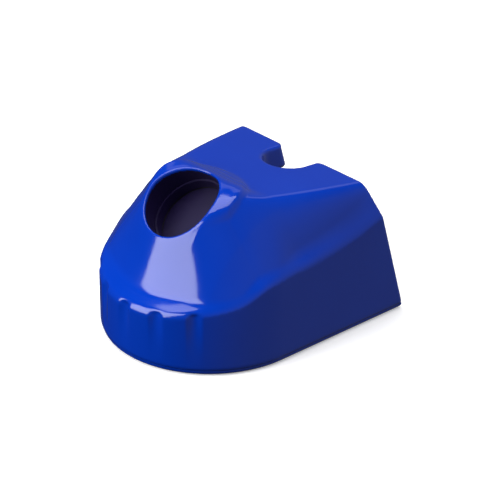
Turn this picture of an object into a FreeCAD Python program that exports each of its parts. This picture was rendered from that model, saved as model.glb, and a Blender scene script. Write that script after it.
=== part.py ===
import FreeCAD, Part
import math
import os
import Sketcher
from FreeCAD import Placement, Rotation, Vector

# Floating chlorine dispenser.
# Frame: millimetres, +Z up, the nose points to -Y, the open back to +Y.
# The origin is the centre of the footprint at the base plane.
# Heights are measured from the base plane. Y sizes whose name ends in _n are
# measured from the centre of the rounded nose, which lies at Y = nose_y.

doc = FreeCAD.newDocument("FloatingDispenser")
sheet = doc.addObject("Spreadsheet::Sheet", "Params")

VALUES = {
    # hood, outside
    "nose_y": -27.0, "half_w": 110.0, "rear_n": 164.0, "rear_lean": 16.1,
    "seam_z": 6.0, "deck_z": 147.5, "wall": 3.0, "deck_half_front": 40.4,
    "deck_half_rear": 69.2, "shoulder_x": 103.5, "shoulder_z": 127.0,
    "ledge_in": 4.5, "cone_tilt": 16.4, "cone_z": 95.0, "cone_r": 105.0,
    # loading port
    "port_n": -32.0, "port_z": 141.0, "port_tilt": 36.2, "port_r": 40.0,
    "sleeve_wall": 3.0, "sleeve_deep": 22.0, "crown_r": 44.0,
    "collar_r": 52.0, "collar_n": -23.5, "liner_r": 37.5, "liner_deep": 14.0,
    "flange_t": 3.0, "flange_r": 46.5,
    # flap
    "flap_r": 41.0, "flap_t": 3.0, "flap_z": -27.4, "seal_t": 1.9,
    "hinge_y": 43.0, "hinge_z": -34.0, "pin_r": 1.5, "pin_half": 21.0,
    # rail notch
    "notch_r": 25.0, "notch_n": 103.5, "notch_lip": 14.0,
    # canister, chute and dial, on one vertical axis
    "can_n": -2.0, "can_r": 43.5, "can_wall": 2.5, "can_top": 50.0,
    "can_floor": 6.3, "can_flange_z": 13.6, "can_flange_r": 55.0,
    "chute_r": 52.0, "chute_wall": 2.5, "chute_bottom": 51.0,
    "dial_r": 44.0, "dial_z": 3.2, "dial_t": 2.8,
    # base tray
    "floor_t": 3.0, "base_edge": 5.0, "base_top": 5.5, "tray_hole_r": 46.4,
    "tray_collar_r": 56.0, "tray_collar_z": 12.0, "lip_top": 14.0,
    # floats and ballast
    "float_in": 58.0, "float_out": 95.0, "float_z": 13.0, "float_top": 90.0,
    "float_front_n": -10.0, "float_rear_n": 118.0, "strap_n": 54.0,
    "strap_w": 16.0, "strap_t": 2.0,
    "ballast_x": 36.0, "ballast_w": 14.0, "ballast_len": 66.0,
    "ballast_t": 9.0, "ballast_n": 108.0,
    # hood screws
    "post_x": 103.0, "post_r": 4.5, "screw_r": 1.6,
}
for row, (name, value) in enumerate(VALUES.items(), 1):
    sheet.set("A%d" % row, name)
    sheet.set("B%d" % row, str(value))
    sheet.setAlias("B%d" % row, name)
doc.recompute()


class Dim:
    """A size with its number and the sheet expression that drives it."""

    def __init__(self, v, e):
        self.v, self.e = float(v), e

    def _op(self, other, sign, swap=False):
        o = other if isinstance(other, Dim) else Dim(other, repr(float(other)))
        a, b = (o, self) if swap else (self, o)
        if sign == "+":
            v = a.v + b.v
        elif sign == "-":
            v = a.v - b.v
        elif sign == "*":
            v = a.v * b.v
        else:
            v = a.v / b.v
        return Dim(v, "(%s %s %s)" % (a.e, sign, b.e))

    def __add__(self, o):
        return self._op(o, "+")

    def __radd__(self, o):
        return self._op(o, "+", True)

    def __sub__(self, o):
        return self._op(o, "-")

    def __rsub__(self, o):
        return self._op(o, "-", True)

    def __mul__(self, o):
        return self._op(o, "*")

    def __rmul__(self, o):
        return self._op(o, "*", True)

    def __truediv__(self, o):
        return self._op(o, "/")

    def __neg__(self):
        return self._op(-1.0, "*")


class Sizes:
    def __getattr__(self, name):
        return Dim(VALUES[name], "Params." + name)


S = Sizes()


def num(d):
    return d.v if isinstance(d, Dim) else float(d)


def trig(kind, d):
    f = {"tan": math.tan, "sin": math.sin, "cos": math.cos}[kind]
    return Dim(f(math.radians(num(d))), "%s(%s * 1 deg)" % (kind, d.e))


def bind(obj, prop, d):
    if isinstance(d, Dim):
        obj.setExpression(prop, d.e)
    elif "." not in prop:
        setattr(obj, prop, float(d))


def place(obj, x=0, y=0, z=0, axis=None, angle=0):
    """Puts an object at x, y, z, turned by angle about axis."""
    rot = Rotation(axis, num(angle)) if axis is not None else Rotation()
    obj.Placement = Placement(Vector(num(x), num(y), num(z)), rot)
    for key, d in (("x", x), ("y", y), ("z", z)):
        if isinstance(d, Dim):
            obj.setExpression("Placement.Base." + key, d.e)
    if isinstance(angle, Dim) and axis is not None:
        obj.setExpression("Placement.Rotation.Angle", angle.e)
    return obj


def box(name, lx, ly, lz, x=0, y=0, z=0):
    o = doc.addObject("Part::Box", name)
    bind(o, "Length", lx)
    bind(o, "Width", ly)
    bind(o, "Height", lz)
    return place(o, x, y, z)


def cyl(name, r, h, x=0, y=0, z=0, axis=None, angle=0):
    o = doc.addObject("Part::Cylinder", name)
    bind(o, "Radius", r)
    bind(o, "Height", h)
    return place(o, x, y, z, axis, angle)


def cone(name, r1, r2, h, x=0, y=0, z=0):
    o = doc.addObject("Part::Cone", name)
    bind(o, "Radius1", r1)
    bind(o, "Radius2", r2)
    bind(o, "Height", h)
    return place(o, x, y, z)


def cut(name, base, tool):
    o = doc.addObject("Part::Cut", name)
    o.Base, o.Tool = base, tool
    return o


def common(name, a, b):
    o = doc.addObject("Part::Common", name)
    o.Base, o.Tool = a, b
    return o


def fuse(name, *shapes):
    if len(shapes) == 2:
        o = doc.addObject("Part::Fuse", name)
        o.Base, o.Tool = shapes
    else:
        o = doc.addObject("Part::MultiFuse", name)
        o.Shapes = list(shapes)
    o.Refine = True
    return o


def group(name, *shapes):
    """Several separate solids under one name."""
    o = doc.addObject("Part::Compound", name)
    o.Links = list(shapes)
    return o


def tube(name, r_in, r_out, h, x=0, y=0, z=0):
    a = cyl(name + "_o", r_out, h, x, y, z)
    b = cyl(name + "_i", r_in, h + 2.0 if isinstance(h, Dim) else h + 2.0,
            x, y, z - 1.0)
    return cut(name, a, b)


def plane_of(body, role):
    return [o for o in body.Origin.OriginFeatures if o.Role == role][0]


def sketch(body, name, role, dx=0, dy=0, dz=0, axis=None, angle=0):
    s = body.newObject("Sketcher::SketchObject", name)
    s.AttachmentSupport = [(plane_of(body, role), "")]
    s.MapMode = "FlatFace"
    rot = Rotation(axis, num(angle)) if axis is not None else Rotation()
    s.AttachmentOffset = Placement(Vector(num(dx), num(dy), num(dz)), rot)
    for key, d in (("x", dx), ("y", dy), ("z", dz)):
        if isinstance(d, Dim):
            s.setExpression("AttachmentOffset.Base." + key, d.e)
    if isinstance(angle, Dim) and axis is not None:
        s.setExpression("AttachmentOffset.Rotation.Angle", angle.e)
    return s


def drive(s, constraint, d):
    i = s.addConstraint(constraint)
    if isinstance(d, Dim):
        s.setExpression("Constraints[%d]" % i, d.e)


def fix(s, geo, pos, x, y):
    """Holds a sketch point at x, y from the sketch origin."""
    for kind, d in (("DistanceX", x), ("DistanceY", y)):
        i = s.addConstraint(Sketcher.Constraint(kind, -1, 1, geo, pos, num(d)))
        if isinstance(d, Dim):
            s.setExpression("Constraints[%d]" % i, d.e)


def polygon(s, pts):
    n = len(pts)
    first = s.GeometryCount
    for i in range(n):
        a, b = pts[i], pts[(i + 1) % n]
        s.addGeometry(Part.LineSegment(Vector(num(a[0]), num(a[1]), 0),
                                       Vector(num(b[0]), num(b[1]), 0)), False)
    for i in range(n):
        s.addConstraint(Sketcher.Constraint("Coincident", first + i, 2,
                                            first + (i + 1) % n, 1))
    for i in range(n):
        fix(s, first + i, 1, *pts[i])
    return s


def circle(s, x, y, r):
    g = s.addGeometry(Part.Circle(Vector(num(x), num(y), 0), Vector(0, 0, 1),
                                  num(r)), False)
    fix(s, g, 3, x, y)
    i = s.addConstraint(Sketcher.Constraint("Radius", g, num(r)))
    if isinstance(r, Dim):
        s.setExpression("Constraints[%d]" % i, r.e)
    return g


def u_plan(s, r, y0, y1):
    """A U: half a circle of radius r about (0, y0), with sides to y1."""
    R, a, b = num(r), num(y0), num(y1)
    arc = s.addGeometry(Part.ArcOfCircle(
        Part.Circle(Vector(0, a, 0), Vector(0, 0, 1), R), math.pi, 2 * math.pi),
        False)
    right = s.addGeometry(Part.LineSegment(Vector(R, a, 0), Vector(R, b, 0)), False)
    back = s.addGeometry(Part.LineSegment(Vector(R, b, 0), Vector(-R, b, 0)), False)
    left = s.addGeometry(Part.LineSegment(Vector(-R, b, 0), Vector(-R, a, 0)), False)
    C = Sketcher.Constraint
    s.addConstraint(C("Coincident", arc, 2, right, 1))
    s.addConstraint(C("Coincident", right, 2, back, 1))
    s.addConstraint(C("Coincident", back, 2, left, 1))
    s.addConstraint(C("Coincident", left, 2, arc, 1))
    fix(s, arc, 3, 0, y0)
    drive(s, C("Radius", arc, R), r)
    drive(s, C("DistanceY", -1, 1, right, 1, a), y0)
    drive(s, C("DistanceY", -1, 1, left, 2, a), y0)
    drive(s, C("DistanceY", -1, 1, right, 2, b), y1)
    s.addConstraint(C("Horizontal", back))
    s.addConstraint(C("Vertical", left))
    s.addConstraint(C("Vertical", right))
    return s


def collar_plan(s, r, yc, x_front, y_front):
    """Half a circle of radius r to the back of yc, narrowing to a straight front."""
    R, a, b, xf = num(r), num(yc), num(y_front), num(x_front)
    arc = s.addGeometry(Part.ArcOfCircle(
        Part.Circle(Vector(0, a, 0), Vector(0, 0, 1), R), 0, math.pi), False)
    left = s.addGeometry(Part.LineSegment(Vector(-R, a, 0), Vector(-xf, b, 0)), False)
    front = s.addGeometry(Part.LineSegment(Vector(-xf, b, 0), Vector(xf, b, 0)), False)
    right = s.addGeometry(Part.LineSegment(Vector(xf, b, 0), Vector(R, a, 0)), False)
    C = Sketcher.Constraint
    s.addConstraint(C("Coincident", arc, 2, left, 1))
    s.addConstraint(C("Coincident", left, 2, front, 1))
    s.addConstraint(C("Coincident", front, 2, right, 1))
    s.addConstraint(C("Coincident", right, 2, arc, 1))
    fix(s, arc, 3, 0, yc)
    drive(s, C("Radius", arc, R), r)
    drive(s, C("DistanceY", -1, 1, left, 1, a), yc)
    drive(s, C("DistanceY", -1, 1, right, 2, a), yc)
    fix(s, front, 1, -1.0 * x_front if isinstance(x_front, Dim) else -xf, y_front)
    fix(s, front, 2, x_front, y_front)
    return s


def pad(body, name, profile, length, both=False, reverse=False):
    p = body.newObject("PartDesign::Pad", name)
    p.Profile = profile
    bind(p, "Length", length)
    if both:
        p.SideType = "Symmetric"
    p.Reversed = reverse
    return p


def pocket(body, name, profile, length, both=False, reverse=False):
    p = body.newObject("PartDesign::Pocket", name)
    p.Profile = profile
    bind(p, "Length", length)
    if both:
        p.SideType = "Symmetric"
    p.Reversed = reverse
    return p


def new_body(name):
    return doc.addObject("PartDesign::Body", name)


def style_curve(s, pts, top):
    """A closed sketch region above a smooth curve through pts, up to height top."""
    sp = Part.BSplineCurve()
    sp.interpolate([Vector(a, b, 0) for a, b in pts])
    g = s.addGeometry(sp, False)
    s.addConstraint(Sketcher.Constraint("Block", g))
    (a0, b0), (a1, b1) = pts[0], pts[-1]
    for p, q in (((a1, b1), (a1, top)), ((a1, top), (a0, top)), ((a0, top), (a0, b0))):
        i = s.addGeometry(Part.LineSegment(Vector(p[0], p[1], 0),
                                           Vector(q[0], q[1], 0)), False)
        s.addConstraint(Sketcher.Constraint("Block", i))
    return s


# ---------------------------------------------------------------- hood
# Side view of the shoulder line round the nose and along the flanks, and of the
# crown over the loading port, as (distance from the nose centre, height).
LEDGE = [(-125, 61.0), (-112, 61.2), (-100, 63.5), (-85, 69.0), (-65, 78.0), (-45, 84.5),
         (-20, 90.5), (5, 95.0), (35, 99.5), (65, 104.0), (100, 110.5), (185, 125.0)]
CROWN = [(-125, 36.0), (-100, 70.5), (-80, 99.0), (-70, 112.5), (-62, 121.0),
         (-50, 135.0), (-34, 150.0), (-16, 160.5), (0, 164.5), (12, 161.8),
         (28, 155.0), (45, 150.6), (60, 150.0), (190, 150.0)]


def hood_form(name, off, rear_open):
    """The hood as a solid, off millimetres inside its outer face."""
    b = new_body(name)
    yn = VALUES["nose_y"]
    down = off
    s = sketch(b, name + "_plan", "XY_Plane",
               dz=S.seam_z if not rear_open else S.seam_z - 3.0)
    u_plan(s, S.half_w - off, S.nose_y, S.nose_y + S.rear_n + (20.0 if rear_open else 4.0))
    pad(b, name + "_skirt", s, 122.0 - num(S.seam_z))
    s = sketch(b, name + "_ledge_line", "YZ_Plane")
    style_curve(s, [(y + yn, z - down) for y, z in LEDGE], 200.0)
    pocket(b, name + "_ledge_cut", s, 300.0, both=True)
    # raised collar round the back of the port, narrowing forwards
    s = sketch(b, name + "_collar_plan", "XY_Plane", dz=124.0)
    collar_plan(s, S.collar_r - off, S.nose_y + S.collar_n, 20.0 - off,
                S.nose_y - 61.0)
    pad(b, name + "_collar", s, 50.0)
    # upper body: flat deck between sloping shoulders, as three cross-sections
    secs = []
    k = off * 1.15
    back_n = 176.0
    grow = (back_n - 121.0) / 121.0
    wr = S.deck_half_rear + (S.deck_half_rear - S.deck_half_front) * grow
    for tag, yy, half_deck, sx, sz, wx, wz in (
        ("a", -26.0, S.deck_half_front - 8.0, 58.0, 121.0, 92.0, 86.0),
        ("b", 2.0, S.deck_half_front, 69.5, 124.0, S.half_w - S.ledge_in - 1.0, 94.5),
        ("c", back_n, wr, S.shoulder_x + 2.5, S.shoulder_z + 1.0,
         S.half_w - 1.5, 125.0),
    ):
        t = sketch(b, name + "_sec_" + tag, "XZ_Plane", dz=-(S.nose_y + yy))
        hd = half_deck - off * 0.5
        x2 = sx - k * 0.75
        x3 = wx - off
        zt = S.deck_z - off
        z2 = sz - k * 0.75
        z3 = wz - off * 0.5
        polygon(t, [(-1.0 * x3, 50.0), (x3, 50.0), (x3, z3), (x2, z2), (hd, zt),
                    (-1.0 * hd, zt), (-1.0 * x2, z2), (-1.0 * x3, z3)])
        secs.append(t)
    loft = b.newObject("PartDesign::AdditiveLoft", name + "_roof")
    loft.Profile = secs[0]
    loft.Sections = secs[1:]
    loft.Ruled = True
    # rounded nose slope: a skewed cone from the shoulder line to the port crown
    c0 = sketch(b, name + "_cone_low", "XY_Plane", dy=S.nose_y, dz=S.cone_z - off * 0.4,
                axis=Vector(1, 0, 0), angle=S.cone_tilt)
    circle(c0, 0, 0, S.cone_r - off * 1.25)
    c1 = sketch(b, name + "_cone_high", "XY_Plane",
                dy=S.nose_y + S.port_n + 1.0, dz=S.port_z - off * 0.8,
                axis=Vector(1, 0, 0), angle=S.port_tilt)
    circle(c1, 0, 0, S.crown_r - off * 0.7)
    loft = b.newObject("PartDesign::AdditiveLoft", name + "_nose_slope")
    loft.Profile = c0
    loft.Sections = [c1]
    s = sketch(b, name + "_crown_line", "YZ_Plane")
    style_curve(s, [(y + yn, z - off * 1.1) for y, z in CROWN], 230.0)
    pocket(b, name + "_crown_cut", s, 300.0, both=True)
    if not rear_open:
        # leaning back edge
        s = sketch(b, name + "_back_line", "YZ_Plane")
        t = trig("tan", S.rear_lean)
        y0 = S.nose_y + S.rear_n
        polygon(s, [(y0 + 10.0 * t, -10.0), (y0 + 80.0, -10.0), (y0 + 80.0, 190.0),
                    (y0 - 190.0 * t, 190.0)])
        pocket(b, name + "_back_cut", s, 300.0, both=True)
    return b


outer = hood_form("hood_outer", 0.0, False)
core = hood_form("hood_core", num(S.wall), True)

sinT, cosT = trig("sin", S.port_tilt), trig("cos", S.port_tilt)
XAX = Vector(1, 0, 0)


def port(x, y, z):
    """A point in the port's own frame: x across, y up the rim to the back, z out."""
    return (x, S.nose_y + S.port_n + y * cosT - z * sinT,
            S.port_z + y * sinT + z * cosT)


def pcyl(name, r, h, x, y, z):
    return cyl(name, r, h, *port(x, y, z), axis=XAX, angle=S.port_tilt)


def pbox(name, lx, ly, lz, x, y, z):
    o = box(name, lx, ly, lz)
    return place(o, *port(x, y, z), axis=XAX, angle=S.port_tilt)


def xcyl(name, r, length, x, y, z):
    """A cylinder along +X that starts at x, in the port's frame."""
    return cyl(name, r, length, *port(x, y, z), axis=Vector(0, 1, 0), angle=90)


def cross_head(name, head, x, y, z, depth):
    """Cuts a cross recess of the given depth upwards from z into a screw head."""
    a = box(name + "_xa", 3.6, 0.9, depth, x - 1.8, y - 0.45, z)
    b = box(name + "_xb", 0.9, 3.6, depth, x - 0.45, y - 1.8, z)
    return cut(name, head, fuse(name + "_xr", a, b))


def screw_up(name, x, y, z, length, head_r=3.0, head_h=2.2):
    """A pan-head screw driven upwards; z is the bearing face of its head."""
    body = fuse(name + "_b", cyl(name + "_h", head_r, head_h, x, y, z - head_h),
                cyl(name + "_s", S.screw_r, length, x, y, z))
    return cross_head(name, body, x, y, z - head_h - 0.01, 1.2)


def screw_down(name, x, y, z, length, head_r=3.0, head_h=2.2):
    """A pan-head screw driven downwards; z is the bearing face of its head."""
    body = fuse(name + "_b", cyl(name + "_h", head_r, head_h, x, y, z),
                cyl(name + "_s", S.screw_r, length, x, y, z - length))
    return cross_head(name, body, x, y, z + head_h - 1.2 + 0.01, 1.2)


yn = S.nose_y
hole_r = S.screw_r + 0.05
POSTS = [(sx * S.post_x, yn + yy) for sx in (1.0, -1.0) for yy in (5.0, 128.0)] + \
        [(sx * 66.0, yn - 79.0) for sx in (1.0, -1.0)]
EARS = [(46.5, 0.0), (-46.5, 0.0), (0.0, -46.5)]
CHUTE_SCREWS = [(sx * 24.0, yn + 60.0) for sx in (1.0, -1.0)]

shell = cut("hood_shell", outer, core)
# sleeve of the loading port, its screw bosses, the lip of the rail notch, the
# posts for the base screws and the bosses for the chute
inside = [pcyl("sleeve", S.port_r + S.sleeve_wall, S.sleeve_deep + 40.0, 0, 0,
               -1.0 * S.sleeve_deep)]
for i, (x, y) in enumerate(EARS):
    inside.append(pcyl("sleeve_boss%d" % i, 4.4, 14.0, x, y, -1.0 * S.sleeve_deep))
ny = yn + S.notch_n
lip_r = S.notch_r + S.wall
lip_z = S.deck_z - S.notch_lip
inside.append(cyl("notch_lip_round", lip_r, S.notch_lip, 0, ny, lip_z))
inside.append(box("notch_lip_sides", lip_r * 2.0, 60.0, S.notch_lip,
                  -1.0 * lip_r, ny, lip_z))
for i, (x, y) in enumerate(POSTS):
    inside.append(cyl("post%d" % i, S.post_r, 32.0, x, y, S.lip_top + 0.5))
for i, (x, y) in enumerate(CHUTE_SCREWS):
    inside.append(cyl("deck_boss%d" % i, 4.2, 15.0, x, y, 131.1))
inside_all = common("hood_inside", fuse("hood_inside_raw", *inside), outer)
hood_raw = fuse("hood_raw", shell, inside_all)
tools = [pcyl("port_bore", S.port_r, 110.0, 0, 0, -30.0),
         cyl("notch_round", S.notch_r, 60.0, 0, ny, 120.0),
         box("notch_way", S.notch_r * 2.0, 80.0, 60.0, -1.0 * S.notch_r, ny, 120.0)]
for i, (x, y) in enumerate(EARS):
    tools.append(pcyl("boss_hole%d" % i, hole_r, 12.0, x, y, -1.0 * S.sleeve_deep - 0.5))
for i, (x, y) in enumerate(POSTS):
    tools.append(cyl("post_hole%d" % i, hole_r, 24.0, x, y, S.lip_top))
for i, (x, y) in enumerate(CHUTE_SCREWS):
    tools.append(cyl("deck_hole%d" % i, hole_r, 11.0, x, y, 130.5))
hood = cut("hood", hood_raw, fuse("hood_tools", *tools))

# ---------------------------------------------------------------- port liner
flange_z = -1.0 * S.sleeve_deep - 0.2 - S.flange_t
ring = pcyl("liner_ring", S.port_r - 0.3, S.sleeve_deep - S.liner_deep + 0.2, 0, 0,
            -1.0 * S.sleeve_deep - 0.2)
flange = pcyl("liner_flange", S.flange_r, S.flange_t, 0, 0, flange_z)
pieces = [ring, flange]
for i, (x, y) in enumerate(EARS):
    pieces.append(pcyl("liner_ear%d" % i, 4.8, S.flange_t, x, y, flange_z))
for i, x in enumerate((15.2, -19.2)):
    pieces.append(pbox("hinge_ear%d" % i, 4.0, 8.0, 13.0, x, S.hinge_y - 4.4,
                       flange_z - 10.0))
    pieces.append(xcyl("hinge_knuckle%d" % i, 3.8, 4.0, x, S.hinge_y, S.hinge_z))
liner_tools = [pcyl("liner_bore", S.liner_r, 40.0, 0, 0, flange_z - 5.0),
               xcyl("liner_pin_hole", S.pin_r + 0.02, 60.0, -30.0, S.hinge_y, S.hinge_z)]
for i, (x, y) in enumerate(EARS):
    liner_tools.append(pcyl("liner_hole%d" % i, hole_r, 8.0, x, y, flange_z - 2.0))
liner = cut("port_liner", fuse("liner_raw", *pieces), fuse("liner_tools", *liner_tools))

liner_screws = []
for i, (x, y) in enumerate(EARS):
    h = pcyl("liner_screw_h%d" % i, 2.9, 1.9, x, y, flange_z - 1.9)
    k = pcyl("liner_screw_s%d" % i, S.screw_r, 12.0, x, y, flange_z)
    r1 = pbox("liner_screw_xa%d" % i, 3.4, 0.8, 1.1, x - 1.7, y - 0.4, flange_z - 1.91)
    r2 = pbox("liner_screw_xb%d" % i, 0.8, 3.4, 1.1, x - 0.4, y - 1.7, flange_z - 1.91)
    liner_screws.append(cut("liner_screw%d" % i, fuse("liner_screw_b%d" % i, h, k),
                            fuse("liner_screw_r%d" % i, r1, r2)))
liner_screw_set = group("liner_screws", *liner_screws)

# ---------------------------------------------------------------- loading flap
disc = pcyl("flap_disc", S.flap_r, S.flap_t, 0, 0, S.flap_z - S.flap_t)
rib_a = pbox("flap_rib_a", 60.0, 2.0, 2.5, -30.0, -1.0, S.flap_z - S.flap_t - 2.5)
rib_b = pbox("flap_rib_b", 2.0, 62.0, 2.5, -1.0, -32.0, S.flap_z - S.flap_t - 2.5)
flap_pieces = [disc, rib_a, rib_b]
for i, x in enumerate((9.6, -14.6)):
    flap_pieces.append(pbox("flap_lug%d" % i, 5.0, 13.0, 7.4, x, S.hinge_y - 13.0,
                            S.flap_z - S.flap_t - 6.6))
    flap_pieces.append(xcyl("flap_knuckle%d" % i, 3.6, 5.0, x, S.hinge_y, S.hinge_z))
flap = cut("loading_flap", fuse("flap_raw", *flap_pieces),
           xcyl("flap_pin_hole", S.pin_r + 0.06, 60.0, -30.0, S.hinge_y, S.hinge_z))
seal = cut("flap_seal", pcyl("seal_o", 40.4, S.seal_t, 0, 0, S.flap_z),
           pcyl("seal_i", 37.9, S.seal_t + 2.0, 0, 0, S.flap_z - 1.0))
pin = xcyl("flap_hinge_pin", S.pin_r, S.pin_half * 2.0, -1.0 * S.pin_half, S.hinge_y,
           S.hinge_z)
coils = []
for i in range(7):
    x = -4.4 + 1.3 * i
    coils.append(cut("coil%d" % i,
                     xcyl("coil_o%d" % i, 3.3, 1.1, x, S.hinge_y, S.hinge_z),
                     xcyl("coil_i%d" % i, 2.1, 3.1, x - 1.0, S.hinge_y, S.hinge_z)))
coils.append(pcyl("spring_leg", 0.55, 7.6, -5.1, S.hinge_y + 2.7, S.hinge_z))
spring = group("flap_spring", *coils)

# ---------------------------------------------------------------- feed chute
cy = yn + S.can_n
co = S.chute_r + S.chute_wall
chute_o = fuse("chute_outside", cyl("chute_tube_o", co, 65.0, 0, cy, 66.0),
               cone("chute_cone_o", 47.5, co, 15.0, 0, cy, S.chute_bottom),
               box("chute_ear_a", 14.0, 30.0, 3.0, 17.0, yn + 36.0, 128.0),
               box("chute_ear_b", 14.0, 30.0, 3.0, -31.0, yn + 36.0, 128.0))
chute_i = [cyl("chute_tube_i", S.chute_r, 80.0, 0, cy, 66.0),
           cone("chute_cone_i", 45.0, S.chute_r, 15.0, 0, cy, S.chute_bottom),
           pbox("chute_top_cut", 160.0, 90.0, 90.0, -80.0, -72.0, -29.5),
           box("chute_side_cut", 160.0, 130.0, 40.0, -80.0, yn - 100.0, 120.0)]
for i, (x, y) in enumerate(CHUTE_SCREWS):
    chute_i.append(cyl("chute_hole%d" % i, hole_r, 8.0, x, y, 126.0))
chute = chute_o
for i, tool in enumerate(chute_i):
    chute = cut("feed_chute" if i == len(chute_i) - 1 else "chute_cut%d" % i, chute, tool)
chute_screws = group("chute_screws", *[
    screw_up("chute_screw%d" % i, x, y, 128.0, 12.0)
    for i, (x, y) in enumerate(CHUTE_SCREWS)])

# ---------------------------------------------------------------- canister
can = new_body("tablet_canister")
place(can, 0, cy, 0)
ro = S.can_r + S.can_wall
s = sketch(can, "can_wall_plan", "XY_Plane", dz=S.can_floor)
circle(s, 0, 0, ro)
circle(s, 0, 0, S.can_r)
pad(can, "can_walls", s, S.can_top - S.can_floor)
s = sketch(can, "can_floor_plan", "XY_Plane", dz=S.can_floor)
circle(s, 0, 0, ro)
pad(can, "can_base", s, 2.5)
s = sketch(can, "can_hub_plan", "XY_Plane", dz=S.can_floor)
circle(s, 0, 0, 6.5)
pad(can, "can_hub", s, 10.0)
s = sketch(can, "can_flange_plan", "XY_Plane", dz=S.can_flange_z)
circle(s, 0, 0, S.can_flange_r)
circle(s, 0, 0, S.can_r + 1.0)
pad(can, "can_flange", s, 2.5)
s = sketch(can, "can_slot_side", "XZ_Plane")
polygon(s, [(-2.5, 20.0), (2.5, 20.0), (2.5, S.can_top - 4.0), (-2.5, S.can_top - 4.0)])
slot = pocket(can, "can_slot", s, 60.0)
pat = can.newObject("PartDesign::PolarPattern", "can_slots")
pat.Originals = [slot]
pat.Axis = (plane_of(can, "Z_Axis"), [""])
pat.Angle = 360.0
pat.Occurrences = 16
can.Tip = pat
s = sketch(can, "can_window_plan", "XY_Plane", dz=S.can_floor + 6.0)
circle(s, 0, 26.0, 6.5)
win = pocket(can, "can_window", s, 20.0)
pat = can.newObject("PartDesign::PolarPattern", "can_windows")
pat.Originals = [win]
pat.Axis = (plane_of(can, "Z_Axis"), [""])
pat.Angle = 360.0
pat.Occurrences = 6
can.Tip = pat
s = sketch(can, "can_screw_plan", "XY_Plane", dz=S.can_flange_z + 6.0)
circle(s, 36.1, 36.1, hole_r)
hole = pocket(can, "can_screw_hole", s, 20.0)
pat = can.newObject("PartDesign::PolarPattern", "can_screw_holes")
pat.Originals = [hole]
pat.Axis = (plane_of(can, "Z_Axis"), [""])
pat.Angle = 360.0
pat.Occurrences = 4
can.Tip = pat
s = sketch(can, "can_pivot_plan", "XY_Plane", dz=S.can_floor - 1.0)
circle(s, 0, 0, hole_r)
pocket(can, "can_pivot_hole", s, 9.5, reverse=True)

gasket_tools = [cyl("gasket_i", ro + 0.6, 6.0, 0, cy, S.tray_collar_z - 1.0)]
CAN_SCREWS = [(sx * 36.1, cy + sy * 36.1) for sx in (1.0, -1.0) for sy in (1.0, -1.0)]
for i, (x, y) in enumerate(CAN_SCREWS):
    gasket_tools.append(cyl("gasket_hole%d" % i, S.screw_r + 0.3, 6.0, x, y, 11.0))
gasket = cut("canister_gasket", cyl("gasket_o", 54.6, 1.6, 0, cy, S.tray_collar_z),
             fuse("gasket_tools", *gasket_tools))
can_screws = group("canister_screws", *[
    screw_down("canister_screw%d" % i, x, y, S.can_flange_z + 2.5, 12.0)
    for i, (x, y) in enumerate(CAN_SCREWS)])

# ---------------------------------------------------------------- flow dial
dial = new_body("flow_dial")
place(dial, 0, cy, 0)
s = sketch(dial, "dial_plan", "XY_Plane", dz=S.dial_z)
circle(s, 0, 0, S.dial_r)
circle(s, 0, 0, 3.06)
pad(dial, "dial_disc", s, S.dial_t)
s = sketch(dial, "dial_grip_plan", "XY_Plane", dz=S.dial_z)
polygon(s, [(9.5, -3.5), (40.0, -2.5), (40.0, 2.5), (9.5, 3.5)])
pad(dial, "dial_grip_a", s, 2.4, reverse=True)
s = sketch(dial, "dial_grip_plan_b", "XY_Plane", dz=S.dial_z)
polygon(s, [(-9.5, -3.5), (-9.5, 3.5), (-40.0, 2.5), (-40.0, -2.5)])
pad(dial, "dial_grip_b", s, 2.4, reverse=True)
s = sketch(dial, "dial_window_plan", "XY_Plane", dz=S.dial_z + 8.0)
circle(s, 0, 26.0, 6.5)
win = pocket(dial, "dial_window", s, 20.0)
pat = dial.newObject("PartDesign::PolarPattern", "dial_windows")
pat.Originals = [win]
pat.Axis = (plane_of(dial, "Z_Axis"), [""])
pat.Angle = 360.0
pat.Occurrences = 6
dial.Tip = pat

washer = cut("dial_washer", cyl("washer_o", 7.2, 0.5, 0, cy, S.dial_z - 0.55),
             cyl("washer_i", 3.1, 3.0, 0, cy, S.dial_z - 2.0))
sh = fuse("dial_screw_b", cyl("dial_screw_head", 6.2, 1.8, 0, cy, S.dial_z - 2.4),
          cyl("dial_screw_neck", 3.0, S.dial_t + 0.8, 0, cy, S.dial_z - 0.6),
          cyl("dial_screw_thread", S.screw_r, 11.0, 0, cy, S.dial_z))
dial_screw = cross_head("dial_screw", sh, 0.0, cy, S.dial_z - 2.41, 1.0)

# ---------------------------------------------------------------- base tray
tray = new_body("base_tray")
s = sketch(tray, "tray_plan", "XY_Plane")
u_plan(s, S.half_w - 1.6, yn, yn + S.rear_n)
slab = pad(tray, "tray_slab", s, S.base_top)
doc.recompute()
low = [i for i, e in enumerate(slab.Shape.Edges, 1)
       if abs(e.BoundBox.ZMax) < 1e-6 and abs(e.BoundBox.ZMin) < 1e-6]
fil = tray.newObject("PartDesign::Fillet", "tray_under_round")
fil.Base = (slab, ["Edge%d" % i for i in low])
bind(fil, "Radius", S.base_edge)
s = sketch(tray, "tray_inside_plan", "XY_Plane", dz=S.base_top)
u_plan(s, S.half_w - 4.0, yn, yn + S.rear_n - 4.0)
pocket(tray, "tray_inside", s, S.base_top - S.floor_t)
s = sketch(tray, "tray_lip_plan", "XY_Plane", dz=S.floor_t)
u_plan(s, S.half_w - 3.6, yn, yn + S.rear_n - 6.0)
u_plan(s, S.half_w - 5.8, yn, yn + S.rear_n - 8.2)
pad(tray, "tray_lip", s, S.lip_top - S.floor_t)
s = sketch(tray, "tray_collar_plan", "XY_Plane", dz=S.floor_t)
circle(s, 0, cy, S.tray_collar_r)
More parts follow.
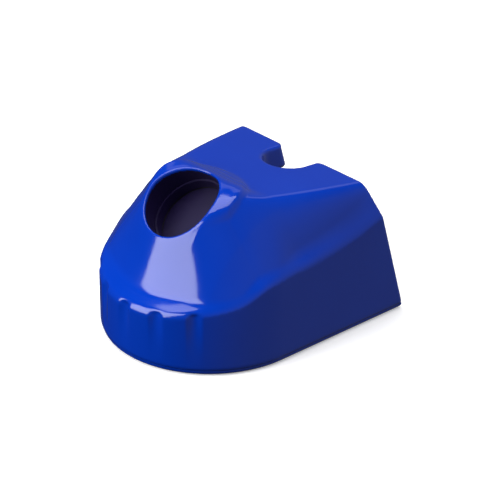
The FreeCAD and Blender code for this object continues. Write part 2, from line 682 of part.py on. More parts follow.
pad(tray, "tray_collar", s, S.tray_collar_z - S.floor_t)
s = sketch(tray, "tray_post_plan", "XY_Plane", dz=S.floor_t)
for x, y in POSTS:
    circle(s, x, y, 3.7)
pad(tray, "tray_posts", s, S.lip_top - S.floor_t)
s = sketch(tray, "tray_strap_boss_plan", "XY_Plane", dz=S.floor_t)
STRAPS = [(sx * 49.5, yn + S.strap_n) for sx in (1.0, -1.0)]
for x, y in STRAPS:
    circle(s, x, y, 4.5)
pad(tray, "tray_strap_bosses", s, 6.0)
s = sketch(tray, "tray_rib_plan", "XY_Plane", dz=S.floor_t)
for sx in (1.0, -1.0):
    for yy in (12.0, 96.0):
        a, b2 = 60.0 * sx, 94.0 * sx
        polygon(s, [(a, yn + yy), (b2, yn + yy), (b2, yn + yy + 2.5), (a, yn + yy + 2.5)]
                if sx > 0 else
                [(b2, yn + yy), (a, yn + yy), (a, yn + yy + 2.5), (b2, yn + yy + 2.5)])
for x in (-40.0, 0.0, 40.0):
    polygon(s, [(x - 1.25, yn - 84.0 if abs(x) < 1 else yn - 76.0),
                (x + 1.25, yn - 84.0 if abs(x) < 1 else yn - 76.0),
                (x + 1.25, yn - 63.0), (x - 1.25, yn - 63.0)])
pad(tray, "tray_float_ribs", s, S.float_z - S.floor_t)
s = sketch(tray, "tray_hole_plan", "XY_Plane", dz=40.0)
circle(s, 0, cy, S.tray_hole_r)
pocket(tray, "tray_hole", s, 60.0)
s = sketch(tray, "tray_slot_plan", "XY_Plane", dz=10.0)
for x in (-19.5, -6.5, 6.5, 19.5):
    polygon(s, [(x - 2.5, yn + 72.0), (x + 2.5, yn + 72.0), (x + 2.5, yn + 140.0),
                (x - 2.5, yn + 140.0)])
pocket(tray, "tray_slots", s, 30.0)
s = sketch(tray, "tray_screw_plan", "XY_Plane", dz=30.0)
for x, y in POSTS:
    circle(s, x, y, hole_r)
for x, y in STRAPS:
    circle(s, x, y, hole_r)
for x, y in CAN_SCREWS:
    circle(s, x, y, hole_r)
pocket(tray, "tray_screw_holes", s, 28.5)
s = sketch(tray, "tray_screw_through", "XY_Plane", dz=30.0)
for x, y in POSTS:
    circle(s, x, y, hole_r)
pocket(tray, "tray_screw_ways", s, 40.0)
s = sketch(tray, "tray_counterbore_plan", "XY_Plane")
for x, y in POSTS:
    circle(s, x, y, 3.3)
pocket(tray, "tray_counterbores", s, 3.2, reverse=True)
BALLAST = [(sx * S.ballast_x, yn + S.ballast_n + dy) for sx in (1.0, -1.0)
           for dy in (-26.0, 26.0)]
s = sketch(tray, "tray_ballast_holes", "XY_Plane", dz=30.0)
for x, y in BALLAST:
    circle(s, x, y, hole_r)
pocket(tray, "tray_ballast_pilot", s, 29.0)

base_screws = group("base_screws", *[
    screw_up("base_screw%d" % i, x, y, 3.2, 30.0) for i, (x, y) in enumerate(POSTS)])

# ---------------------------------------------------------------- floats
def side_float(name, sx):
    x0 = S.float_in if sx > 0 else -1.0 * S.float_out
    b = box(name + "_block", S.float_out - S.float_in, S.float_rear_n - S.float_front_n,
            S.float_top - S.float_z, x0, yn + S.float_front_n, S.float_z)
    doc.recompute()
    f = doc.addObject("Part::Fillet", name)
    f.Base = b
    f.Edges = [(i, 6.0, 6.0) for i in range(1, 13)]
    return f


float_right = side_float("float_right", 1)
float_left = side_float("float_left", -1)
ring = tube("nose_float_ring", 63.0, 92.0, 39.0, 0, yn, S.float_z)
nose_float = cut("nose_float", ring, box("nose_float_back", 240.0, 160.0, 60.0, -120.0,
                                         yn - 30.0, 8.0))


def strap(name, sx):
    b = new_body(name)
    s = sketch(b, name + "_side", "XZ_Plane",
               dz=-(yn + S.strap_n + S.strap_w * 0.5))
    t, top, a, o = S.strap_t, S.float_top + 0.2, S.float_in - 1.0, S.float_out + 0.3
    pts = [(43.0, 9.0), (a, 9.0), (a, top), (o, top), (o, top - 8.0), (o + t, top - 8.0),
           (o + t, top + t), (a - t, top + t), (a - t, 9.0 + t), (43.0, 9.0 + t)]
    if sx < 0:
        pts = [(-1.0 * x, z) for x, z in reversed(pts)]
    polygon(s, pts)
    pad(b, name + "_bent", s, S.strap_w)
    s = sketch(b, name + "_hole_plan", "XY_Plane", dz=30.0)
    circle(s, sx * 49.5, yn + S.strap_n, hole_r)
    pocket(b, name + "_hole", s, 28.0)
    return b


strap_right = strap("float_strap_right", 1.0)
strap_left = strap("float_strap_left", -1.0)
strap_screws = group("strap_screws", *[
    screw_down("strap_screw%d" % i, x, y, 9.0 + S.strap_t, 9.0)
    for i, (x, y) in enumerate(STRAPS)])


def ballast(name, sx):
    w, n = S.ballast_w, S.ballast_len
    x0 = sx * S.ballast_x - w * 0.5
    b = box(name + "_bar", w, n, S.ballast_t, x0, yn + S.ballast_n - n * 0.5, 3.2)
    doc.recompute()
    f = doc.addObject("Part::Chamfer", name + "_edges")
    f.Base = b
    f.Edges = [(i, 1.0, 1.0) for i in range(1, 13)]
    holes = fuse(name + "_holes", *[
        cyl(name + "_hole%d" % i, hole_r, 20.0, sx * S.ballast_x, yn + S.ballast_n + dy, 0)
        for i, dy in enumerate((-26.0, 26.0))])
    return cut(name, f, holes)


ballast_right = ballast("ballast_right", 1.0)
ballast_left = ballast("ballast_left", -1.0)
ballast_screws = group("ballast_screws", *[
    screw_down("ballast_screw%d" % i, x, y, S.ballast_t + 3.2, 10.8)
    for i, (x, y) in enumerate(BALLAST)])

NODES = {
    "hood": hood, "base_tray": tray, "port_liner": liner,
    "liner_screws": liner_screw_set, "loading_flap": flap, "flap_seal": seal,
    "flap_hinge_pin": pin, "flap_spring": spring, "feed_chute": chute,
    "chute_screws": chute_screws, "tablet_canister": can,
    "canister_gasket": gasket, "canister_screws": can_screws, "flow_dial": dial,
    "dial_washer": washer, "dial_screw": dial_screw, "base_screws": base_screws,
    "nose_float": nose_float, "float_right": float_right, "float_left": float_left,
    "float_strap_right": strap_right, "float_strap_left": strap_left,
    "strap_screws": strap_screws, "ballast_right": ballast_right,
    "ballast_left": ballast_left, "ballast_screws": ballast_screws,
}
for name, o in NODES.items():
    o.Label = name
doc.recompute()

bad = [o.Name for o in doc.Objects if "Invalid" in o.State or "Error" in o.State]
if bad:
    raise RuntimeError("features failed: " + ", ".join(bad))
for name, o in NODES.items():
    sh = o.Shape
    if sh.isNull() or not sh.isValid() or not sh.Solids:
        raise RuntimeError("bad shape: " + name)
    print("%-20s solids %d volume %.0f" % (name, len(sh.Solids), sh.Volume))
os.makedirs("parts", exist_ok=True)
for name, o in NODES.items():
    o.Shape.exportStep("parts/%s.step" % name)
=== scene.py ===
import bpy
import math
import numpy as np
from mathutils import Vector, Matrix


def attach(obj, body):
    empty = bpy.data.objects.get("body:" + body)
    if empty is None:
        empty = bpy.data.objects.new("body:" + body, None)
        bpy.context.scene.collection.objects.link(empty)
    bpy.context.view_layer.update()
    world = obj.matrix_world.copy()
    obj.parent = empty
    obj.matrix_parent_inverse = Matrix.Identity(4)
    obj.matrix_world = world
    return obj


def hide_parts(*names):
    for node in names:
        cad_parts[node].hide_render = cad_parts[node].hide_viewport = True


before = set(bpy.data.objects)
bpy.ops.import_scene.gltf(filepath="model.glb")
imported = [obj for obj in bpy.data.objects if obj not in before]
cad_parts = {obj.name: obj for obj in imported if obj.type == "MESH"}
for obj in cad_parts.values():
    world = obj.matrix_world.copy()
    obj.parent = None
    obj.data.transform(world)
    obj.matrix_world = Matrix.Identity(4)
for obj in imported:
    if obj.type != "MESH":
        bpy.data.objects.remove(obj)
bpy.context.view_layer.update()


# ---------------------------------------------------------------- hood surface
def smin(a, b, k):
    h = np.maximum(k - np.abs(a - b), 0.0) / k
    return np.minimum(a, b) - h * h * k * 0.25


def smax(a, b, k):
    return -smin(-a, -b, k)


def rmax(a, b, r):
    u = np.maximum(a + r, 0.0)
    v = np.maximum(b + r, 0.0)
    return np.minimum(np.maximum(a, b), -r) + np.sqrt(u * u + v * v)


def curve(v, xs, ys):
    m = np.gradient(ys, xs)
    i = np.clip(np.searchsorted(xs, v) - 1, 0, len(xs) - 2)
    h = xs[i + 1] - xs[i]
    t = (v - xs[i]) / h
    tc = np.clip(t, 0.0, 1.0)
    t2 = tc * tc
    t3 = t2 * tc
    y = ((2 * t3 - 3 * t2 + 1) * ys[i] + (t3 - 2 * t2 + tc) * h * m[i]
         + (-2 * t3 + 3 * t2) * ys[i + 1] + (t3 - t2) * h * m[i + 1])
    return y + np.where(t < 0, t * h * m[i], 0.0) + np.where(t > 1, (t - 1) * h * m[i + 1], 0.0)


# Millimetres, with the origin on the nose's axis and y towards the back.
NOSE_Y = -27.0
LY = np.array([-112, -85, -65, -45, -20, 5, 35, 65, 100, 127, 165.])
LZ = np.array([61.129, 67.714, 71.145, 75.820, 90.415, 95.028, 99.500, 104.002, 110.458, 118.176, 120.057])
CROWN_Y = np.array([-90, -70, -63, -56, -51, -43, -34, -24, -16.5, -11, -1, 8, 18, 29, 45.])
CROWN_Z = np.array([85, 108, 118, 129, 136, 143, 149.5, 155, 160, 162.6, 164.2, 162.6, 158.5, 154.6, 150.0]) - 0.922


def cone(x, y, z):
    """The sloping face below the port: circles whose centre, tilt and radius change along a leaning axis."""
    y0, z0, r0, a0 = 2.068, 94.218, 102.382, math.radians(20.742)
    y1, z1, r1, a1 = -31.944, 144.273, 45.630, math.radians(39.398)
    t = np.clip((z - z0) / (z1 - z0), -1.2, 1.8)
    for _ in range(7):
        cy = y0 + (y1 - y0) * t
        cz = z0 + (z1 - z0) * t
        ta = a0 + (a1 - a0) * t
        s, c = np.sin(ta), np.cos(ta)
        f = -(y - cy) * s + (z - cz) * c
        df = (y1 - y0) * s - (z1 - z0) * c + (a1 - a0) * (-(y - cy) * c - (z - cz) * s)
        t = np.clip(t - f / np.minimum(df, -15), -1.5, 2.2)
    cy = y0 + (y1 - y0) * t
    cz = z0 + (z1 - z0) * t
    ta = a0 + (a1 - a0) * t
    v = (y - cy) * np.cos(ta) + (z - cz) * np.sin(ta)
    r = np.sqrt(x * x + v * v)
    return (r - (r0 + (r1 - r0) * t + 3.590 * 4 * np.clip(t * (1 - t), -0.3, 1))) * 0.68


def flutes(x, y, z):
    th = np.degrees(np.arctan2(x, -y))
    d = np.zeros_like(x)
    zt = curve(y, LY, LZ) - 3.0
    for c in (-41.5, -20.75, 0.0, 20.75, 41.5):
        s = (th - c) * np.pi / 180 * 110.0
        prof = np.clip(1 - (s / 8.6) ** 2, 0, None) ** 1.5
        u = np.clip((z - 10) / (zt - 10), 0, 1)
        e = np.clip((zt + 3.5 - z) / 3.5, 0, 1)
        d = d + prof * (0.2 * u + 0.8 * u ** 2) * e
    return 3.7 * d * (y < 0)


def body(x, y, z):
    X = np.abs(x)
    dw = np.sqrt(x * x + np.minimum(y, 0.0) ** 2) - 110.0
    zl = curve(y, LY, LZ)
    fr = np.clip((y + 30.0) / 160.0, 0.0, 1.0)
    top = (z - (zl + 0.25 * np.clip(-dw, 0, 12))) * 0.97
    w = dw + flutes(x, y, z)
    skirt = rmax(w, top, 5.823 + 7.214 * fr ** 1.5)
    a = 52.782 + 0.1904 * y
    b = 102.105
    zd = 153.067 - 0.0686 * (y - 60.0)
    zb = 87.739 + 0.2698 * y
    t = (X - a) / (b - a)
    slope = (zd - zb) / (b - a)
    m = np.maximum(0.877 + 3.465 * fr, 1.0)
    tc = np.clip(t, 1e-3, 1.6)
    zf = zd - tc ** m * (zd - zb)
    sl = m * tc ** (m - 1) * slope
    flank = (z - zf) / np.sqrt(1 + sl * sl)
    deck = z - zd - 0.4 * (x / 60.0) ** 2
    side = X - (110.0 - (6.035 - 3.656 * fr))
    upper = rmax(flank, side, 4.005 + 3.910 * fr)
    upper = smax(upper, deck, 2.469)
    cn = cone(x, y, z)
    relax = 15.0 * np.log1p(np.exp(np.clip((y + 40.0) / 15.0, -30, 30)))
    upper = smax(upper, cn - (3.0 + 0.9 * relax), 32.0)
    upper = smax(upper, dw + 5.035, 8.0)
    h0 = curve(y - 4.0, CROWN_Y, CROWN_Z)
    h1 = curve(y, CROWN_Y, CROWN_Z)
    h2 = curve(y + 4.0, CROWN_Y, CROWN_Z)
    cz = (h0 + 2.0 * h1 + h2) / 4.0 + 0.3
    sc = (h2 - h0) / 8.0
    crown = (z - cz) / np.sqrt(1 + sc * sc)
    nose = smax(cn, crown, 3.0)
    nose = smax(nose, y - 14.0, 20.0)
    nose = smax(nose, dw + 6.035, 4.0)
    kb = 10.305 + 9.0 * np.clip((X - 40.0) / 35.0, 0.0, 1.0)
    up = smin(upper, nose, kb)
    sx = 1 + 0.0075 * np.maximum(-23.781 - y, 0)
    ring = np.sqrt((x * sx) ** 2 + (y + 23.781) ** 2) - 55.131
    up = smin(up, rmax(ring, crown, 6.0), 4.5)
    return np.maximum(smin(skirt, up, 6.564 + 14.0 * fr ** 1.5), w)


TILT = math.radians(36.2)


def hood(x, y, z):
    """Signed distance of the moulded hood, in millimetres: a 3 mm shell with its port sleeve and slot lip."""
    d = body(x, y, z)
    v = (y + 32.0) * math.cos(TILT) + (z - 141.0) * math.sin(TILT)
    dp = np.sqrt(x * x + v * v) - 40.0
    zp = -(y + 32.0) * math.sin(TILT) + (z - 141.0) * math.cos(TILT)
    ds = np.where(y < 103.5, np.sqrt(x * x + (y - 103.5) ** 2) - 25.0, np.abs(x) - 25.0)
    rp = (y - (165.492 - 0.2910 * z)) * 0.961
    rs = rmax(-np.maximum(ds, 125.0 - z), rp, 9.0)
    dw = np.sqrt(x * x + np.minimum(y, 0.0) ** 2) - 110.0
    whole = rmax(d, rp, 3.5)
    outer = rmax(d, -np.maximum(ds, 125.0 - z), 3.5)
    sleeve = np.maximum(np.maximum(dp - 3.0, -zp - 22.0), d + 1.0)
    lip = np.maximum(np.maximum(ds - 3.5, 123.5 - z), whole + 1.0)
    wall = 3.0 + 1.7 * np.clip((35.0 - y) / 25.0, 0, 1) * np.clip((z - 58.0) / 5.0, 0, 1)
    e = np.maximum(d, -(d + wall))
    e = smin(e, sleeve, 2.0)
    e = smin(e, lip, 3.0)
    e = rmax(e, rs, 1.4)
    d = np.maximum(e, outer)
    d = rmax(d, -dp, 2.2)
    d = np.maximum(d, rmax(np.maximum(dw, rp), 0.2 - z, 10.0))
    return np.maximum(d, 6.0 - z)


def surface_net(f, lo, hi, step):
    """A quad mesh of f = 0: one vertex per crossed cell, pulled onto the surface."""
    n = [int(math.ceil((hi[i] - lo[i]) / step)) + 1 for i in range(3)]
    ax = [lo[i] + step * np.arange(n[i]) for i in range(3)]
    # coarse pass first, so that the fine grid is only evaluated near the surface
    k = 4
    cn = [(n[i] + k - 1) // k + 1 for i in range(3)]
    cg = np.meshgrid(*[lo[i] + step * k * (np.arange(cn[i]) + 0.5) - step * 0.5 for i in range(3)], indexing="ij")
    cv = f(*[g.ravel() for g in cg]).reshape(cn)
    near = np.abs(cv) < step * k * 1.9
    grid = np.where(near, 0.0, cv)
    grid = grid.repeat(k, 0).repeat(k, 1).repeat(k, 2)[:n[0], :n[1], :n[2]]
    mask = near.repeat(k, 0).repeat(k, 1).repeat(k, 2)[:n[0], :n[1], :n[2]]
    ii = np.argwhere(mask)
    vals = np.empty(len(ii))
    for s in range(0, len(ii), 400000):
        q = ii[s:s + 400000]
        vals[s:s + 400000] = f(ax[0][q[:, 0]], ax[1][q[:, 1]], ax[2][q[:, 2]])
    grid[mask] = vals
    neg = grid < 0
    c = sum(neg[i:n[0] - 1 + i, j:n[1] - 1 + j, m:n[2] - 1 + m].astype(np.int8) for i in (0, 1) for j in (0, 1) for m in (0, 1))
    active = (c > 0) & (c < 8)
    cells = np.argwhere(active)
    index = -np.ones(active.shape, dtype=np.int64)
    index[active] = np.arange(len(cells))
    acc = np.zeros((len(cells), 3))
    cnt = np.zeros(len(cells))
    corners = [(i, j, m) for i in (0, 1) for j in (0, 1) for m in (0, 1)]
    for a in corners:
        for d in range(3):
            if a[d]:
                continue
            b = list(a)
            b[d] = 1
            va = grid[cells[:, 0] + a[0], cells[:, 1] + a[1], cells[:, 2] + a[2]]
            vb = grid[cells[:, 0] + b[0], cells[:, 1] + b[1], cells[:, 2] + b[2]]
            hit = (va < 0) != (vb < 0)
            t = np.where(hit, va / np.where(hit, va - vb, 1.0), 0.0)
            p = np.tile(np.array(a, float), (len(cells), 1))
            p[:, d] += t
            acc += p * hit[:, None]
            cnt += hit
    verts = np.array(lo) + step * (cells + acc / cnt[:, None])
    quads = []
    for d in range(3):
        sl0 = [slice(None)] * 3
        sl1 = [slice(None)] * 3
        sl0[d] = slice(0, n[d] - 1)
        sl1[d] = slice(1, n[d])
        ga = neg[tuple(sl0)]
        gb = neg[tuple(sl1)]
        e = np.argwhere(ga != gb)
        u, w = [(1, 2), (2, 0), (0, 1)][d]
        ok = (e[:, u] > 0) & (e[:, w] > 0) & (e[:, u] < n[u] - 1) & (e[:, w] < n[w] - 1)
        e = e[ok]
        inside_first = ga[e[:, 0], e[:, 1], e[:, 2]]
        q = []
        for du, dw_ in ((-1, -1), (0, -1), (0, 0), (-1, 0)):
            c2 = e.copy()
            c2[:, u] += du
            c2[:, w] += dw_
            q.append(index[c2[:, 0], c2[:, 1], c2[:, 2]])
        q = np.stack(q, 1)
        q[~inside_first] = q[~inside_first][:, ::-1]
        quads.append(q)
    return verts, np.concatenate(quads)


def gradient(f, v, h=0.12):
    g = np.empty_like(v)
    for i in range(3):
        a = v.copy()
        b = v.copy()
        a[:, i] += h
        b[:, i] -= h
        g[:, i] = (f(*a.T) - f(*b.T)) / (2 * h)
    return g


step = 1.5
verts, quads = surface_net(hood, (-113.5, -113.5, 2.0), (113.5, 168.5, 168.0), step)
def around(v):
    acc = np.zeros_like(v)
    cnt = np.zeros(len(v))
    for k in range(4):
        a, b = quads[:, k], quads[:, (k + 1) % 4]
        for c in range(3):
            acc[:, c] += np.bincount(a, v[b, c], len(v)) + np.bincount(b, v[a, c], len(v))
        cnt += np.bincount(a, minlength=len(v)) + np.bincount(b, minlength=len(v))
    return acc / np.maximum(cnt, 1)[:, None]


for turn_ in range(3):
    if turn_ < 2:
        verts = 0.5 * verts + 0.5 * around(verts)
    d = hood(*verts.T)
    g = gradient(hood, verts)
    move = -(d / np.maximum((g * g).sum(1), 0.2))[:, None] * g
    ln = np.linalg.norm(move, axis=1, keepdims=True)
    verts = verts + move * np.minimum(1.0, 0.6 * step / np.maximum(ln, 1e-9))
normals = gradient(hood, verts, 0.25)
# painted shade: the wall of the port's bore is part of the blue hood, but takes the dark finish of the liner below
# it to stand for the shade inside the bore
cen = verts[quads].mean(1)
cx_, cy_, cz_ = cen.T
bore = np.sqrt(cx_ ** 2 + ((cy_ + 32.0) * math.cos(TILT) + (cz_ - 141.0) * math.sin(TILT)) ** 2) - 40.0
bore_painted_shade = (np.abs(bore) < 1.0) & (body(cx_, cy_, cz_) < -3.2)
normals /= np.maximum(np.linalg.norm(normals, axis=1, keepdims=True), 1e-9)
# even out stray normals with their neighbours'
for _ in range(2):
    normals = normals + around(normals)
    normals = normals / np.maximum(np.linalg.norm(normals, axis=1, keepdims=True), 1e-9)
verts[:, 1] += NOSE_Y

mesh = bpy.data.meshes.new("hood_moulded")
mesh.vertices.add(len(verts))
mesh.vertices.foreach_set("co", (verts * 0.001).astype(np.float32).ravel())
mesh.loops.add(quads.size)
mesh.loops.foreach_set("vertex_index", quads.astype(np.int32).ravel())
mesh.polygons.add(len(quads))
mesh.polygons.foreach_set("loop_start", np.arange(0, quads.size, 4, dtype=np.int32))
mesh.polygons.foreach_set("use_smooth", np.ones(len(quads), dtype=bool))
mesh.update(calc_edges=True)
mesh.validate()
mesh.normals_split_custom_set_from_vertices(normals.astype(np.float32))
hood_obj = bpy.data.objects.new("hood_moulded", mesh)
bpy.context.scene.collection.objects.link(hood_obj)

# ---------------------------------------------------------------- materials
def new_material(name):
    m = bpy.data.materials.new(name)
    m.use_nodes = True
    nt = m.node_tree
    bsdf = nt.nodes.get("Principled BSDF")
    return m, nt, bsdf


def noise(nt, coord, scale, detail=3.0, rough=0.55, distortion=0.0):
    n = nt.nodes.new("ShaderNodeTexNoise")
    n.inputs["Scale"].default_value = scale
    n.inputs["Detail"].default_value = detail
    n.inputs["Roughness"].default_value = rough
    n.inputs["Distortion"].default_value = distortion
    nt.links.new(coord, n.inputs["Vector"])
    return n.outputs["Fac"]


def spread(nt, fac, lo, hi, a=0.3, b=0.7):
    r = nt.nodes.new("ShaderNodeMapRange")
    r.inputs["From Min"].default_value = a
    r.inputs["From Max"].default_value = b
    r.inputs["To Min"].default_value = lo
    r.inputs["To Max"].default_value = hi
    nt.links.new(fac, r.inputs["Value"])
    return r.outputs["Result"]


def ramp(nt, fac, c0, c1, a=0.3, b=0.7):
    r = nt.nodes.new("ShaderNodeValToRGB")
    r.color_ramp.elements[0].position = a
    r.color_ramp.elements[0].color = (*c0, 1)
    r.color_ramp.elements[1].position = b
    r.color_ramp.elements[1].color = (*c1, 1)
    nt.links.new(fac, r.inputs["Fac"])
    return r.outputs["Color"]


def bump(nt, bsdf, height, strength, dist):
    b = nt.nodes.new("ShaderNodeBump")
    b.inputs["Strength"].default_value = strength
    b.inputs["Distance"].default_value = dist
    nt.links.new(height, b.inputs["Height"])
    nt.links.new(b.outputs["Normal"], bsdf.inputs["Normal"])
    return b


def moulded(name, dark, light, rough, tone_scale=18.0, grain_scale=900.0, grain=0.0001, grain_strength=0.3, coat=0.0, metallic=0.0, ior=1.5, spec=0.5):
    """A moulded or finished surface: slow drift of tone, uneven gloss, and a fine skin texture."""
    m, nt, bsdf = new_material(name)
    tc = nt.nodes.new("ShaderNodeTexCoord").outputs["Object"]
    nt.links.new(ramp(nt, noise(nt, tc, tone_scale, 4.0), dark, light), bsdf.inputs["Base Color"])
    nt.links.new(spread(nt, noise(nt, tc, tone_scale * 3.0, 5.0), rough[0], rough[1]), bsdf.inputs["Roughness"])
    bump(nt, bsdf, noise(nt, tc, grain_scale, 2.0), grain_strength, grain)
    bsdf.inputs["Metallic"].default_value = metallic
    bsdf.inputs["IOR"].default_value = ior
    bsdf.inputs["Specular IOR Level"].default_value = spec
    if coat:
        bsdf.inputs["Coat Weight"].default_value = coat
        bsdf.inputs["Coat Roughness"].default_value = 0.06
    return m


mats = {
    "hood_plastic": moulded("hood_plastic_look", (0.0003, 0.029, 0.345), (0.0006, 0.033, 0.375), (0.10, 0.14), 9.0, 60.0, 0.0002, 0.05),
    "dark_plastic": moulded("dark_plastic_look", (0.006, 0.003, 0.026), (0.009, 0.005, 0.036), (0.40, 0.52), 20.0, 1400.0, 0.00008, 0.5, spec=0.22),
    "white_plastic": moulded("white_plastic_look", (0.72, 0.74, 0.76), (0.80, 0.81, 0.82), (0.32, 0.42), 25.0, 1100.0, 0.00006, 0.4),
    "dial_plastic": moulded("dial_plastic_look", (0.015, 0.15, 0.50), (0.02, 0.18, 0.56), (0.30, 0.40), 30.0, 1100.0, 0.00006, 0.4),
    "seal_rubber": moulded("seal_rubber_look", (0.010, 0.010, 0.011), (0.020, 0.020, 0.021), (0.62, 0.78), 40.0, 1600.0, 0.0001, 0.7, spec=0.25),
    "ballast_coat": moulded("ballast_coat_look", (0.030, 0.032, 0.036), (0.050, 0.052, 0.056), (0.40, 0.58), 30.0, 350.0, 0.0003, 0.6),
}


def foam():
    m, nt, bsdf = new_material("float_foam_look")
    tc = nt.nodes.new("ShaderNodeTexCoord").outputs["Object"]
    v = nt.nodes.new("ShaderNodeTexVoronoi")
    v.feature = "DISTANCE_TO_EDGE"
    v.inputs["Scale"].default_value = 650.0
    nt.links.new(tc, v.inputs["Vector"])
    nt.links.new(ramp(nt, v.outputs["Distance"], (0.62, 0.62, 0.58), (0.80, 0.80, 0.77), 0.0, 0.25), bsdf.inputs["Base Color"])
    nt.links.new(spread(nt, noise(nt, tc, 60.0), 0.72, 0.9), bsdf.inputs["Roughness"])
    bump(nt, bsdf, spread(nt, v.outputs["Distance"], 0.0, 1.0, 0.0, 0.3), 0.5, 0.0002)
    return m


def brushed():
    m, nt, bsdf = new_material("steel_look")
    tc = nt.nodes.new("ShaderNodeTexCoord").outputs["Object"]
    mp = nt.nodes.new("ShaderNodeMapping")
    mp.inputs["Scale"].default_value = (1.0, 0.06, 1.0)
    nt.links.new(tc, mp.inputs["Vector"])
    n = noise(nt, mp.outputs["Vector"], 2400.0, 3.0)
    nt.links.new(ramp(nt, n, (0.50, 0.51, 0.52), (0.66, 0.67, 0.68)), bsdf.inputs["Base Color"])
    nt.links.new(spread(nt, n, 0.24, 0.4), bsdf.inputs["Roughness"])
    bump(nt, bsdf, n, 0.15, 0.00005)
    bsdf.inputs["Metallic"].default_value = 1.0
    return m


mats["float_foam"] = foam()
mats["steel"] = brushed()

hood_obj.data.materials.append(mats["hood_plastic"])
hood_obj.data.materials.append(mats["dark_plastic"])
# the bore wall faces get the dark finish as painted shade inside the port
hood_obj.data.polygons.foreach_set("material_index", bore_painted_shade.astype(np.int32))
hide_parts("hood")
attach(hood_obj, "shell")

for name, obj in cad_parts.items():
    for i, s in enumerate(obj.material_slots):
        base = s.material.name.split(".")[0] if s.material else ""
        hit = [k for k in mats if base == k or base.startswith(k)]
        if hit:
            s.material = mats[hit[0]]

# ---------------------------------------------------------------- floor, light, camera
fm, nt, bsdf = new_material("floor_pale")
tc = nt.nodes.new("ShaderNodeTexCoord").outputs["Object"]
nt.links.new(ramp(nt, noise(nt, tc, 3.0), (0.90, 0.90, 0.90), (0.93, 0.93, 0.93)), bsdf.inputs["Base Color"])
nt.links.new(spread(nt, noise(nt, tc, 40.0), 0.75, 0.9), bsdf.inputs["Roughness"])
bsdf.inputs["Specular IOR Level"].default_value = 0.1
bsdf.inputs["Emission Color"].default_value = (1.0, 1.0, 1.0, 1)
far = nt.nodes.new("ShaderNodeVectorMath")
far.operation = "LENGTH"
nt.links.new(tc, far.inputs[0])
nt.links.new(spread(nt, far.outputs["Value"], 0.28, 1.0, 0.45, 1.6), bsdf.inputs["Emission Strength"])
bpy.ops.mesh.primitive_grid_add(x_subdivisions=2, y_subdivisions=2, size=12.0, location=(0, 0, -0.0002))
floor = bpy.context.object
floor.name = "studio_floor"
floor.data.materials.append(fm)
floor.visible_glossy = False
floor.visible_diffuse = False

world = bpy.data.worlds.new("studio")
bpy.context.scene.world = world
world.use_nodes = True
wn = world.node_tree
bg = wn.nodes.get("Background")
bg.inputs["Color"].default_value = (1.0, 1.0, 1.0, 1)
bg.inputs["Strength"].default_value = 1.0
lp = wn.nodes.new("ShaderNodeLightPath")
mr = wn.nodes.new("ShaderNodeMapRange")
mr.inputs["To Min"].default_value = 0.24
mr.inputs["To Max"].default_value = 1.05
wn.links.new(lp.outputs["Is Camera Ray"], mr.inputs["Value"])
wtc = wn.nodes.new("ShaderNodeTexCoord")
sep = wn.nodes.new("ShaderNodeSeparateXYZ")
wn.links.new(wtc.outputs["Generated"], sep.inputs["Vector"])
up01 = wn.nodes.new("ShaderNodeMapRange")
up01.inputs["From Min"].default_value = -1.0
wn.links.new(sep.outputs["Z"], up01.inputs["Value"])
sky = wn.nodes.new("ShaderNodeValToRGB")
sky.color_ramp.interpolation = "B_SPLINE"
stops = [(0.0, 0.10), (0.25, 0.22), (0.5, 0.34), (0.66, 0.36), (0.78, 0.30), (0.88, 0.06), (1.0, 0.03)]
while len(sky.color_ramp.elements) < len(stops):
    sky.color_ramp.elements.new(0.5)
for e, (pos, v) in zip(sky.color_ramp.elements, stops):
    e.position = pos
    e.color = (v, v, v, 1)
wn.links.new(up01.outputs["Result"], sky.inputs["Fac"])
turn = wn.nodes.new("ShaderNodeVectorMath")
turn.operation = "DOT_PRODUCT"
turn.inputs[1].default_value = (0.73, 0.68, 0.0)
wn.links.new(wtc.outputs["Generated"], turn.inputs[0])
side = wn.nodes.new("ShaderNodeMapRange")
side.interpolation_type = "SMOOTHSTEP"
side.inputs["From Min"].default_value = -0.6
side.inputs["From Max"].default_value = 0.8
side.inputs["To Min"].default_value = 0.12
side.inputs["To Max"].default_value = 1.0
wn.links.new(turn.outputs["Value"], side.inputs["Value"])
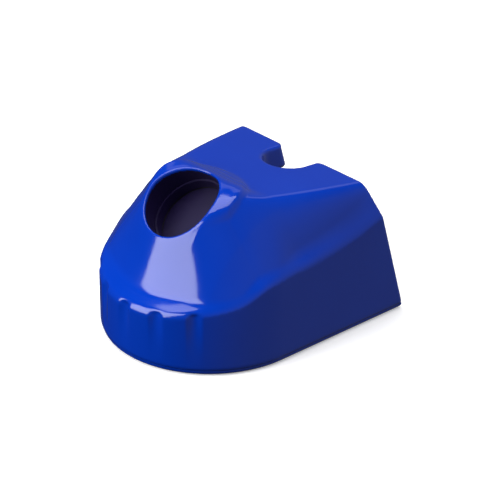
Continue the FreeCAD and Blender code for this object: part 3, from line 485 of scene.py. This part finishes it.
mul = wn.nodes.new("ShaderNodeMath")
mul.operation = "MULTIPLY"
wn.links.new(sky.outputs["Color"], mul.inputs[0])
wn.links.new(side.outputs["Result"], mul.inputs[1])
wn.links.new(mul.outputs["Value"], mr.inputs["To Min"])
wn.links.new(mr.outputs["Result"], bg.inputs["Strength"])

CENTRE = Vector((0.0, -0.004, 0.07))


def area(name, az, el, dist, w, h, power, colour=(1, 1, 1), target=CENTRE):
    d = Vector((math.sin(math.radians(az)) * math.cos(math.radians(el)),
                -math.cos(math.radians(az)) * math.cos(math.radians(el)), math.sin(math.radians(el))))
    light = bpy.data.lights.new(name, "AREA")
    light.shape = "RECTANGLE"
    light.size = w
    light.size_y = h
    light.energy = power
    light.color = colour
    o = bpy.data.objects.new(name, light)
    bpy.context.scene.collection.objects.link(o)
    o.location = target + d * dist
    o.rotation_euler = (-d).to_track_quat("-Z", "Y").to_euler()
    return o


area("softbox_front", -18.0, 24.0, 1.6, 1.30, 1.24, 33.5)
area("softbox_top", -60.0, 80.0, 1.8, 1.6, 1.6, 31.0)
right = area("softbox_right", 112.0, 56.0, 2.0, 2.0, 1.4, 16.0)
right.visible_glossy = False
area("softbox_back", 228.0, 40.0, 2.4, 2.0, 0.6, 2.0)

cam_data = bpy.data.cameras.new("camera")
cam = bpy.data.objects.new("camera", cam_data)
bpy.context.scene.collection.objects.link(cam)
AZ, EL, DIST = math.radians(48.891), math.radians(28.189), 2.2381
back = Vector((math.sin(AZ) * math.cos(EL), -math.cos(AZ) * math.cos(EL), math.sin(EL)))
cam.location = CENTRE + back * DIST
cam.rotation_euler = (-back).to_track_quat("-Z", "Y").to_euler()
cam_data.sensor_width = 36.0
cam_data.lens = 161.15
cam_data.shift_x = (250.0 - 227.063) / 500.0
cam_data.shift_y = (251.838 - 250.0) / 500.0
cam_data.clip_start = 0.05
cam_data.clip_end = 50.0
bpy.context.scene.camera = cam
bpy.context.scene.view_settings.view_transform = "Standard"
bpy.context.scene.view_settings.look = "None"
